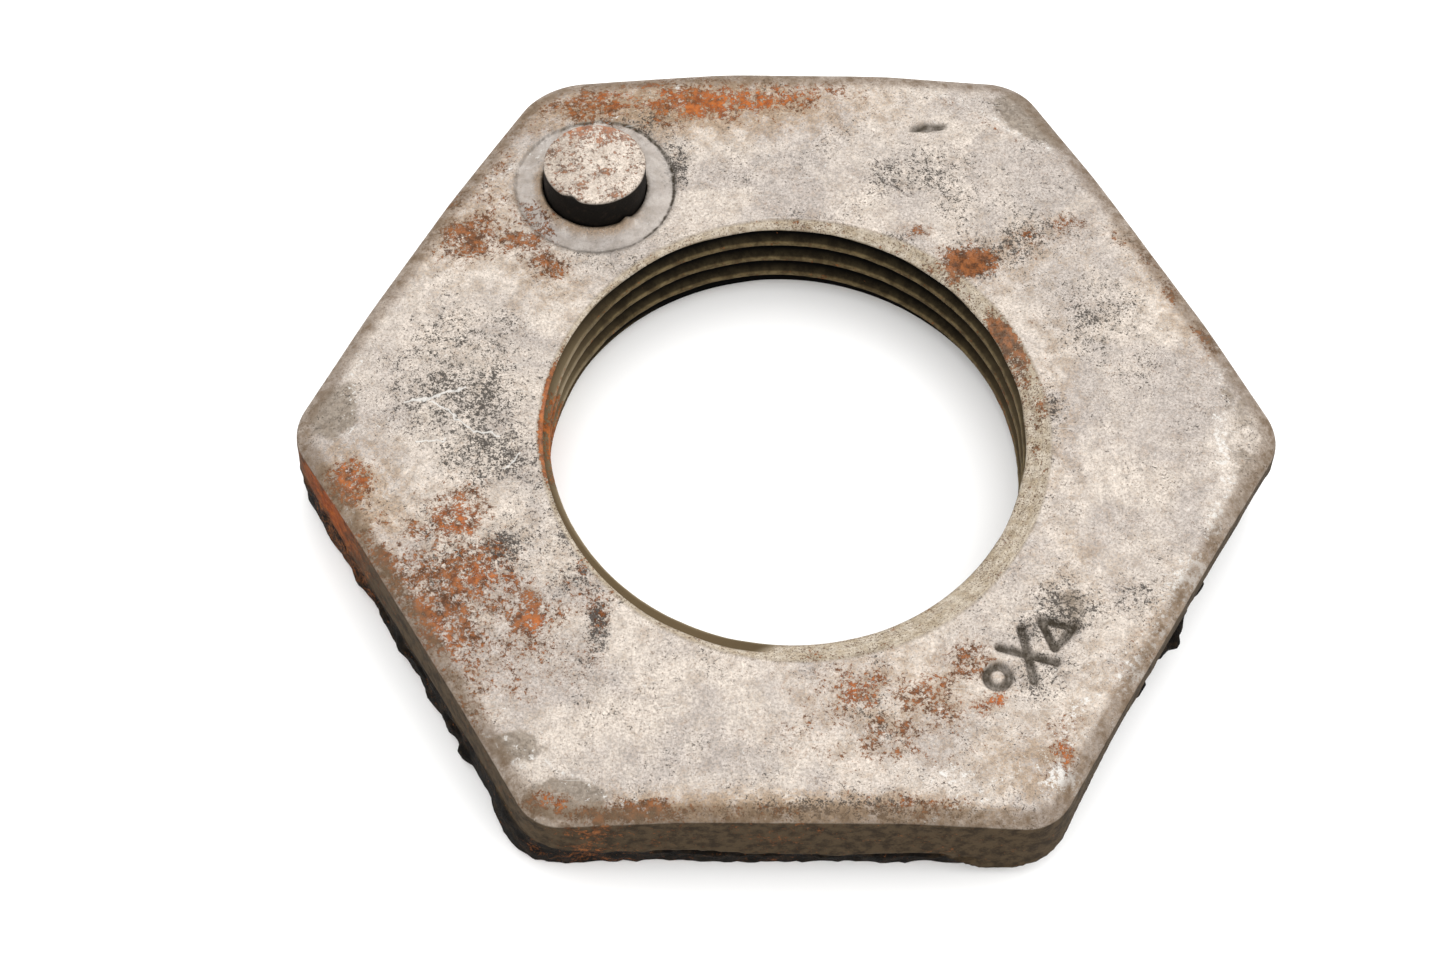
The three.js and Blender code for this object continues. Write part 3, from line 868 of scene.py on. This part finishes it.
# Soot: small dark specks, crowded where the amount is high, in two sizes.
def makeSootGroup():
    tree, given, result = startGroup(
        "soot specks", [("Amount", "Float", 0.0)], [("Mask", "Float"), ("Fine", "Float"), ("Smoke", "Float")]
    )
    position, amount = given["Position"], given["Amount"]
    large = noiseOf(tree, position, 2.3, 4.0, 0.78, 0.3)
    small = noiseOf(tree, position, 7.5, 2.0, 0.7)
    cloud = noiseOf(tree, position, 0.24, 3.0, 0.6)
    crowd = plus(tree, times(tree, amount, 0.165), times(tree, cloud, 0.3))
    mixed = plus(tree, times(tree, large, 0.55), times(tree, small, 0.45))
    mask = band(tree, plus(tree, mixed, crowd), 0.735, 0.81)
    fine = band(tree, plus(tree, small, times(tree, crowd, 0.6)), 0.66, 0.75)
    smoke = band(tree, plus(tree, large, times(tree, amount, 0.3)), 0.55, 0.85)
    return finishGroup(tree, result, {"Mask": mask, "Fine": fine, "Smoke": smoke})


# Worn bare steel: slow drifts between a warm and a cool grey, a stained film, a fine grain, light flecks and
# dark specks, and short scratches in two directions.
def makeSteelGroup():
    colours = ("Warm", "Cool", "Film", "Fleck", "Speck")
    tree, given, result = startGroup(
        "worn steel",
        [(name, "Color", (1, 1, 1, 1)) for name in colours] + [("Stain", "Float", 0.0)],
        [("Colour", "Color"), ("Height", "Float"), ("Scratch", "Float")],
    )
    position, stain = given["Position"], given["Stain"]
    drift = noiseOf(tree, position, 0.16, 4.0, 0.6, 0.4)
    mottle = noiseOf(tree, position, 0.8, 5.0, 0.72, 0.3)
    grain = noiseOf(tree, position, 4.8, 3.0, 0.8)
    colour = mottled(tree, drift, 0.38, 0.64, given["Warm"], given["Cool"])
    filmNoise = plus(tree, times(tree, mottle, 0.6), times(tree, grain, 0.4))
    film = band(tree, plus(tree, filmNoise, times(tree, stain, 0.13)), 0.5, 0.66)
    filmStrength = plus(tree, 0.36, times(tree, stain, 0.5))
    colour = cover(tree, colour, film, filmStrength, given["Film"])
    colour = mixColour(tree, 1.0, colour, band(tree, mottle, 0.28, 0.72, 1.13, 0.86), "MULTIPLY")
    colour = mixColour(tree, 1.0, colour, band(tree, grain, 0.25, 0.75, 0.62, 1.28), "MULTIPLY")
    fleck = noiseOf(tree, position, 3.1, 3.0, 0.85, 0.6)
    colour = mixColour(tree, band(tree, fleck, 0.635, 0.7, 0.0, 0.75), colour, given["Fleck"])
    colour = mixColour(tree, band(tree, fleck, 0.375, 0.32, 0.0, 0.7), colour, given["Speck"])
    strokes = []
    for turn, stretch, low in ((0.62, (0.35, 5.5, 1.0), 0.71), (-0.9, (0.3, 6.5, 1.0), 0.72)):
        inputs = {"Vector": position, "Rotation": (0, 0, turn), "Scale": stretch}
        turned = place(tree, "ShaderNodeMapping", inputs).outputs[0]
        strokes.append(band(tree, noiseOf(tree, turned, 1.0, 1.0, 0.5), low, low + 0.07))
    scratch = largest(tree, *strokes)
    height = minus(tree, grain, times(tree, scratch, 0.35))
    return finishGroup(tree, result, {"Colour": colour, "Height": height, "Scratch": scratch})


# A single scratch: 1 within half a width of a straight line from start to end in the plan, breaking up along
# it.
def makeScratchGroup():
    tree, given, result = startGroup(
        "long scratch",
        [("Start", "Vector", None), ("End", "Vector", None), ("Width", "Float", 0.2)],
        [("Mask", "Float")],
    )
    position = given["Position"]
    wander = place(tree, "ShaderNodeTexNoise", {"Vector": position, "Scale": 1.3}).outputs[1]
    wander = vectorCalc(tree, "SUBTRACT", wander, (0.5, 0.5, 0.5))
    wander = vectorCalc(tree, "MULTIPLY", wander, (0.9, 0.9, 0))
    flat = vectorCalc(tree, "ADD", vectorCalc(tree, "MULTIPLY", position, (1, 1, 0)), wander)
    away = vectorCalc(tree, "SUBTRACT", flat, given["Start"])
    line = vectorCalc(tree, "SUBTRACT", given["End"], given["Start"])
    reach = vectorCalc(tree, "DOT_PRODUCT", line, line)
    share = calc(tree, "DIVIDE", vectorCalc(tree, "DOT_PRODUCT", away, line), reach, clamp=True)
    foot = place(tree, "ShaderNodeVectorMath", {0: line, "Scale": share}, operation="SCALE").outputs[0]
    gap = vectorCalc(tree, "DISTANCE", away, foot)
    ragged = times(tree, given["Width"], band(tree, noiseOf(tree, position, 2.2), 0.3, 0.7, 0.3, 1.0))
    mask = band(tree, minus(tree, gap, times(tree, ragged, 0.5)), 0.07, -0.03)
    return finishGroup(tree, result, {"Mask": mask})


rustGroup = makeRustGroup()
sootGroup = makeSootGroup()
steelGroup = makeSteelGroup()
scratchGroup = makeScratchGroup()
print("finishes ready: rust, soot, worn steel and long scratches")


def useGroup(tree, group, inputs):
    return place(tree, "ShaderNodeGroup", inputs, node_tree=group).outputs


def startMaterial(name):
    material = bpy.data.materials.new(name)
    material.use_nodes = True
    tree = material.node_tree
    tree.nodes.clear()
    shader = tree.nodes.new("ShaderNodeBsdfPrincipled")
    output = tree.nodes.new("ShaderNodeOutputMaterial")
    tree.links.new(shader.outputs[0], output.inputs["Surface"])
    where = tree.nodes.new("ShaderNodeTexCoord").outputs["Object"]
    position = vectorCalc(tree, "MULTIPLY", where, (1 / mm, 1 / mm, 1 / mm))
    return material, tree, shader, position


# A mask that was stored on the piece's points.
def stored(tree, name):
    return place(tree, "ShaderNodeAttribute", {}, attribute_name=name).outputs["Fac"]


# The rust, soot and bare steel of a piece, with the colours of its own look.
def wornLayers(tree, position, look, stain):
    amounts = {"Amount": stored(tree, "rust"), "Orange": stored(tree, "orange")}
    rust = useGroup(tree, rustGroup, {"Position": position, **amounts})
    soot = useGroup(tree, sootGroup, {"Position": position, "Amount": stored(tree, "soot")})
    colours = {"Warm": look["warm"], "Cool": look["cool"], "Film": look["film"]}
    colours.update({"Fleck": look["bareAndHighlight"], "Speck": look["speck"], "Stain": stain})
    return rust, soot, useGroup(tree, steelGroup, {"Position": position, **colours})


def wireShader(tree, shader, specular, colour, metallic, roughness, height):
    shader.inputs["Specular IOR Level"].default_value = specular
    tree.links.new(colour, shader.inputs["Base Color"])
    tree.links.new(metallic, shader.inputs["Metallic"])
    tree.links.new(roughness, shader.inputs["Roughness"])
    bump = place(tree, "ShaderNodeBump", {"Height": height, "Distance": mm, "Strength": 0.9})
    tree.links.new(bump.outputs[0], shader.inputs["Normal"])


plateLook = {
    "warm": tone(229, 217, 205),
    "cool": tone(202, 192, 184),
    "film": tone(180, 154, 126),
    "smoke": tone(150, 142, 134),
    # grey of the slate patches and of the painted shade on the right facets
    "slateAndShade": tone(124, 111, 97),
    "slatePale": tone(166, 153, 138),
    "halo": tone(176, 142, 112),  # the stain round a patch of rust
    "soot": tone(68, 64, 60),
    "speck": tone(128, 108, 90),
    # bright bare metal of flecks and scratches, and the painted highlight
    "bareAndHighlight": tone(240, 236, 230),
    "sheared": tone(86, 71, 52),
    "shearedDark": tone(54, 43, 30),
    "torn": tone(16, 12, 8),
    "tornPale": tone(54, 42, 28),
    "under": tone(92, 84, 76),
    "underPale": tone(140, 130, 120),
    "crest": tone(132, 115, 82),
    "crestDark": tone(88, 74, 50),
    # painted light: the lit copies of the crest and groove-root colours
    "crestLit": tone(184, 167, 138),
    # painted shade: the groove roots, nearly black
    "root": tone(4, 3, 2),
    "rootLit": tone(108, 91, 66),
    "chamfer": tone(232, 219, 200),
    "chamferDark": tone(198, 181, 156),
    "sideRustTint": (0.62, 0.52, 0.34, 1.0),
    # painted shade on the rolled edge
    "edge": tone(122, 101, 80),
    # painted shade in recesses and along the coined ring's rim
    "recessShade": tone(70, 62, 50),
    "coined": tone(212, 204, 198),
    "coinedDark": tone(182, 173, 165),
    "specular": 0.07,
    # start, end and width
    "scratches": [
        ((-28.8, 2.1, 0), (-26.6, 2.5, 0), 0.22),
        ((-26.6, 2.5, 0), (-24.3, 3.4, 0), 0.2),
        ((-26.7, 2.2, 0), (-25.0, 0.8, 0), 0.2),
        ((-25.0, 0.8, 0), (-23.6, -0.5, 0), 0.18),
        ((-23.6, -0.5, 0), (-21.6, -0.8, 0), 0.2),
        ((-27.9, -1.4, 0), (-25.7, -1.3, 0), 0.14),
        ((-21.3, -3.8, 0), (-20.1, -2.4, 0), 0.12),
    ],
}


# The painted shadow line in the rim of the coined ring: thin, wandering, and stronger towards the back right,
# where the rim's wall faces away from the light.
def ringShadowLine(tree, position, broad):
    fromPin = vectorCalc(tree, "SUBTRACT", position, (float(pinCentre[0]), float(pinCentre[1]), 0))
    fromPin = vectorCalc(tree, "MULTIPLY", fromPin, (1, 1, 0))
    wobble = times(tree, minus(tree, broad, 0.5), 0.35)
    distance = plus(tree, vectorCalc(tree, "LENGTH", fromPin), wobble)
    fromRing = calc(tree, "ABSOLUTE", minus(tree, distance, seat["ringRadius"] - 0.1))
    facing = vectorCalc(tree, "DOT_PRODUCT", fromPin, (0.14, 0.07, 0))
    line = times(tree, band(tree, fromRing, 0.2, 0.04), band(tree, facing, -0.9, 0.7, 0.3, 0.95))
    return times(tree, line, band(tree, noiseOf(tree, position, 1.6), 0.3, 0.6, 0.4, 1.0))


# The top face, from the bottom up: steel, soot, grey slate patches with painted shade on the right facets,
# the stain round the rust, the ring's floor and its painted shadow line, scratches, rust, and bright worn
# metal with painted highlight.
def topColour(tree, position, look, layers, broad, scratched, bareAndHighlight):
    rust, soot, steel = layers
    # grey slate patches, with painted shade on the right-front facets
    slateAndShade = band(tree, plus(tree, stored(tree, "slateAndShade"), times(tree, broad, 0.7)), 0.72, 1.05)
    slateTone = mottled(tree, noiseOf(tree, position, 2.4), 0.3, 0.7, look["slateAndShade"], look["slatePale"])
    colour = cover(tree, steel["Colour"], soot["Fine"], 0.5, look["speck"])
    colour = cover(tree, colour, soot["Smoke"], 0.55, look["smoke"])
    colour = cover(tree, colour, slateAndShade, 0.8, slateTone)
    colour = cover(tree, colour, rust["Halo"], 0.34, look["halo"])
    colour = cover(tree, colour, soot["Mask"], 0.85, look["soot"])
    coined = mottled(tree, broad, 0.3, 0.7, look["coined"], look["coinedDark"])
    colour = cover(tree, colour, stored(tree, "coined"), 0.75, coined)
    # painted shadow line at the rim of the coined ring
    colour = mixColour(tree, ringShadowLine(tree, position, broad), colour, look["recessShade"])
    colour = cover(tree, colour, steel["Scratch"], 0.35, look["bareAndHighlight"])
    colour = cover(tree, colour, scratched, 0.9, look["bareAndHighlight"])
    colour = cover(tree, colour, rust["Mask"], 0.92, rust["Colour"])
    return mixColour(tree, bareAndHighlight, colour, look["bareAndHighlight"])


# The sides: a smooth sheared band above and torn metal below, with rust.
def sideColour(tree, look, rust, fine):
    sheared = mottled(tree, fine, 0.34, 0.62, look["shearedDark"], look["sheared"])
    torn = mottled(tree, fine, 0.45, 0.72, look["torn"], look["tornPale"])
    sides = mixColour(tree, stored(tree, "torn"), sheared, torn)
    sides = cover(tree, sides, rust["Mask"], 0.7, rust["Colour"])
    darkRust = mixColour(tree, 1.0, rust["Colour"], look["sideRustTint"], "MULTIPLY")
    return cover(tree, sides, stored(tree, "orange"), 0.85, darkRust)


# The bore: a pale chamfer with turned lines, brown crests and grooves painted near black as shade, with
# painted light making crests and groove roots paler where the light falls in.
def boreColour(tree, position, look, layers, broad, fine):
    rust, soot, steel = layers
    onChamfer, lit = stored(tree, "chamfer"), stored(tree, "lit")
    crest = mottled(tree, fine, 0.35, 0.65, look["crest"], look["crestDark"])
    # painted light on the crests where the light falls in
    crest = mixColour(tree, times(tree, lit, lit), crest, look["crestLit"])
    chamfer = mottled(tree, fine, 0.35, 0.65, look["chamfer"], look["chamferDark"])
    fromAxis = vectorCalc(tree, "LENGTH", vectorCalc(tree, "MULTIPLY", position, (1, 1, 0)))
    across = place(tree, "ShaderNodeCombineXYZ", {"X": fromAxis, "Y": times(tree, broad, 0.12)}).outputs[0]
    turnedLines = band(tree, noiseOf(tree, across, 6.0, 2.0, 0.6), 0.35, 0.65, 0.86, 1.04)
    lines = times(tree, turnedLines, band(tree, steel["Height"], 0.3, 0.7, 0.78, 1.14))
    colour = mixColour(tree, onChamfer, crest, chamfer)
    colour = mixColour(tree, onChamfer, colour, mixColour(tree, 1.0, colour, lines, "MULTIPLY"))
    # painted shade in the groove roots, paler with painted light where the light falls in
    root = mixColour(tree, lit, look["root"], look["rootLit"])
    colour = mixColour(tree, stored(tree, "groove"), colour, root)
    colour = cover(tree, colour, soot["Fine"], onChamfer, look["speck"])
    return cover(tree, colour, rust["Mask"], 0.85, rust["Colour"])


def makePlateSteel():
    material, tree, shader, position = startMaterial("plate steel")
    look = plateLook
    layers = wornLayers(tree, position, look, stored(tree, "tan"))
    rust, soot, steel = layers
    broad = noiseOf(tree, position, 0.8, 3.0, 0.65)
    fine = noiseOf(tree, position, 1.1, 4.0, 0.7)
    highlightNoise = noiseOf(tree, position, 2.0, 4.0, 0.78)
    # bright worn metal and painted highlight
    bareAndHighlight = band(tree, plus(tree, times(tree, stored(tree, "bareAndHighlight"), 0.26), highlightNoise), 0.63, 0.76)
    scratches = []
    for start, end, width in look["scratches"]:
        inputs = {"Position": position, "Start": start, "End": end, "Width": width}
        scratches.append(useGroup(tree, scratchGroup, inputs)["Mask"])
    scratched = largest(tree, *scratches)
    colour = topColour(tree, position, look, layers, broad, scratched, bareAndHighlight)
    # painted shade over the rolled top edge, darker towards the outline
    colour = cover(tree, colour, stored(tree, "edge"), band(tree, fine, 0.3, 0.6, 0.95, 0.55), look["edge"])
    colour = mixColour(tree, stored(tree, "side"), colour, sideColour(tree, look, rust, fine))
    under = mottled(tree, fine, 0.3, 0.6, look["under"], look["underPale"])
    under = cover(tree, under, rust["Mask"], 0.8, rust["Colour"])
    colour = mixColour(tree, stored(tree, "under"), colour, under)
    bore = boreColour(tree, position, look, layers, broad, fine)
    colour = mixColour(tree, stored(tree, "bore"), colour, bore)
    # painted shade in the punched strokes, the groove at the pin's foot and the dents
    hollowShare = band(tree, broad, 0.35, 0.6, 0.62, 0.92)
    colour = cover(tree, colour, stored(tree, "recessShade"), hollowShare, look["recessShade"])
    dull = [stored(tree, name) for name in ("side", "bore", "under")]
    dirty = largest(tree, rust["Mask"], soot["Mask"], *dull)
    metallic = band(tree, dirty, 0.0, 1.0, 0.3, 0.05)
    roughness = minus(tree, band(tree, dirty, 0.0, 1.0, 0.5, 0.8), times(tree, bareAndHighlight, 0.18))
    tornBump = times(tree, stored(tree, "torn"), noiseOf(tree, position, 2.2, 5.0, 0.75))
    height = plus(tree, times(tree, steel["Height"], 0.035), times(tree, rust["Height"], 0.06))
    height = minus(tree, height, times(tree, soot["Mask"], 0.02))
    height = minus(tree, height, times(tree, scratched, 0.03))
    height = plus(tree, height, times(tree, tornBump, 0.4))
    wireShader(tree, shader, look["specular"], colour, metallic, roughness, height)
    return material


pinLook = {
    "warm": tone(234, 220, 206),
    "cool": tone(212, 198, 184),
    "film": tone(168, 140, 112),
    "soot": tone(104, 84, 64),
    "speck": tone(176, 134, 100),
    "bareAndHighlight": tone(246, 240, 232),
    # painted shade: the pin's side, nearly black
    "side": tone(18, 14, 10),
    "sidePale": tone(44, 34, 26),
    "specular": 0.12,
}


# The pin: worn steel with rust on its end, and a side painted nearly black as shade.
def makePinSteel():
    material, tree, shader, position = startMaterial("pin steel")
    look = pinLook
    rust, soot, steel = wornLayers(tree, position, look, 0.0)
    colour = cover(tree, steel["Colour"], soot["Fine"], 0.5, look["soot"])
    colour = cover(tree, colour, soot["Mask"], 0.8, look["soot"])
    colour = cover(tree, colour, rust["Mask"], 0.8, rust["Colour"])
    fine = noiseOf(tree, position, 1.4, 4.0, 0.7)
    # painted shade over the pin's side
    side = mottled(tree, fine, 0.5, 0.75, look["side"], look["sidePale"])
    colour = mixColour(tree, stored(tree, "side"), colour, side)
    dirty = largest(tree, rust["Mask"], stored(tree, "side"))
    metallic = band(tree, dirty, 0.0, 1.0, 0.3, 0.1)
    roughness = band(tree, dirty, 0.0, 1.0, 0.48, 0.72)
    height = plus(tree, times(tree, steel["Height"], 0.04), times(tree, rust["Height"], 0.06))
    wireShader(tree, shader, look["specular"], colour, metallic, roughness, height)
    return material


nutPoints, nutQuads = nutSurface()
nut = solidObject("nut_body_worn", nutPoints, nutQuads)
print("nut surface:", len(nut.data.vertices), "points,", len(nut.data.polygons), "faces")
cutPinHole(nut)
nut.data.shade_smooth()
paintPlate(nut)
plateSteel = makePlateSteel()
nut.data.materials.clear()
nut.data.materials.append(plateSteel)
print("nut with its pin hole:", sum(len(face.vertices) - 2 for face in nut.data.polygons), "triangles")

pinPoints, pinQuads = pinSurface()
lockPin = solidObject("lock_pin_worn", pinPoints, pinQuads)
paintPin(lockPin)
lockPin.data.materials.append(makePinSteel())
print("pin surface:", len(lockPin.data.polygons), "faces")

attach(nut, "root")
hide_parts("nut_body")
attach(lockPin, "root")
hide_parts("lock_pin")


studio = {
    "floorSize": 3.0,
    "floorTone": (0.96, 0.96, 0.96, 1.0),
    "worldTone": (1.0, 0.995, 0.985, 1.0),
    "worldStrength": 1.5,
    "keyPower": 3.3,
    "keySize": 1.0,
    "keyPlace": (0.13, 0.36, 0.62),
    "fillPower": 0.9,
    "fillSize": 0.5,
    "fillPlace": (0.5, -0.3, 0.5),
}

floorHalf = studio["floorSize"] / 2
floorMesh = bpy.data.meshes.new("floor")
floorMesh.from_pydata(
    [(floorHalf * x, floorHalf * y, 0) for x, y in ((-1, -1), (1, -1), (1, 1), (-1, 1))],
    [],
    [(0, 1, 2, 3)],
)
floor = bpy.data.objects.new("floor", floorMesh)
bpy.context.scene.collection.objects.link(floor)
floorMaterial = bpy.data.materials.new("white paper")
floorMaterial.use_nodes = True
floorShader = floorMaterial.node_tree.nodes["Principled BSDF"]
floorShader.inputs["Base Color"].default_value = studio["floorTone"]
floorShader.inputs["Roughness"].default_value = 0.9
floorShader.inputs["Specular IOR Level"].default_value = 0.1
floorMesh.materials.append(floorMaterial)


def areaLight(name, power, size, position):
    data = bpy.data.lights.new(name, "AREA")
    data.energy = power
    data.size = size
    light = bpy.data.objects.new(name, data)
    light.location = position
    back = np.array(position) / np.linalg.norm(position)
    side = np.cross((0, 1, 0), back)
    side /= np.linalg.norm(side)
    light.rotation_euler = Matrix(np.stack([side, np.cross(back, side), back], 1).tolist()).to_euler()
    bpy.context.scene.collection.objects.link(light)


areaLight("key", studio["keyPower"], studio["keySize"], studio["keyPlace"])
areaLight("fill", studio["fillPower"], studio["fillSize"], studio["fillPlace"])
world = bpy.data.worlds.new("studio")
world.use_nodes = True
background = world.node_tree.nodes["Background"]
background.inputs["Color"].default_value = studio["worldTone"]
background.inputs["Strength"].default_value = studio["worldStrength"]
bpy.context.scene.world = world
bpy.context.scene.view_settings.view_transform = "Standard"

view = {
    "azimuth": -3.06,
    "elevation": 60.13,
    "roll": 3.01,
    "distance": 318.0,
    "target": (-4.98, -4.69, 9.0),
    "lens": 106.29,
    "sensor": 36.0,
}


# Camera axes: back points from the target to the camera, at the azimuth and elevation, and right and up are
# level and upright, then turned together by the roll.
def makeCamera():
    azimuth, elevation, roll = [np.radians(view[name]) for name in ("azimuth", "elevation", "roll")]
    level = np.array([np.cos(azimuth), np.sin(azimuth), 0])
    ahead = np.array([-np.sin(azimuth), np.cos(azimuth), 0])
    back = -ahead * np.cos(elevation) + np.array([0, 0, np.sin(elevation)])
    upright = np.cross(back, level)
    right = np.cos(roll) * level + np.sin(roll) * upright
    up = -np.sin(roll) * level + np.cos(roll) * upright
    position = (np.array(view["target"]) + view["distance"] * back) * mm
    data = bpy.data.cameras.new("camera")
    data.lens = view["lens"]
    data.sensor_width = view["sensor"]
    data.sensor_fit = "HORIZONTAL"
    data.clip_start = 0.01
    camera = bpy.data.objects.new("camera", data)
    turn = Matrix(np.stack([right, up, back], 1).tolist()).to_4x4()
    camera.matrix_world = Matrix.Translation(position.tolist()) @ turn
    bpy.context.scene.collection.objects.link(camera)
    bpy.context.scene.camera = camera


makeCamera()
print("stage and camera ready")
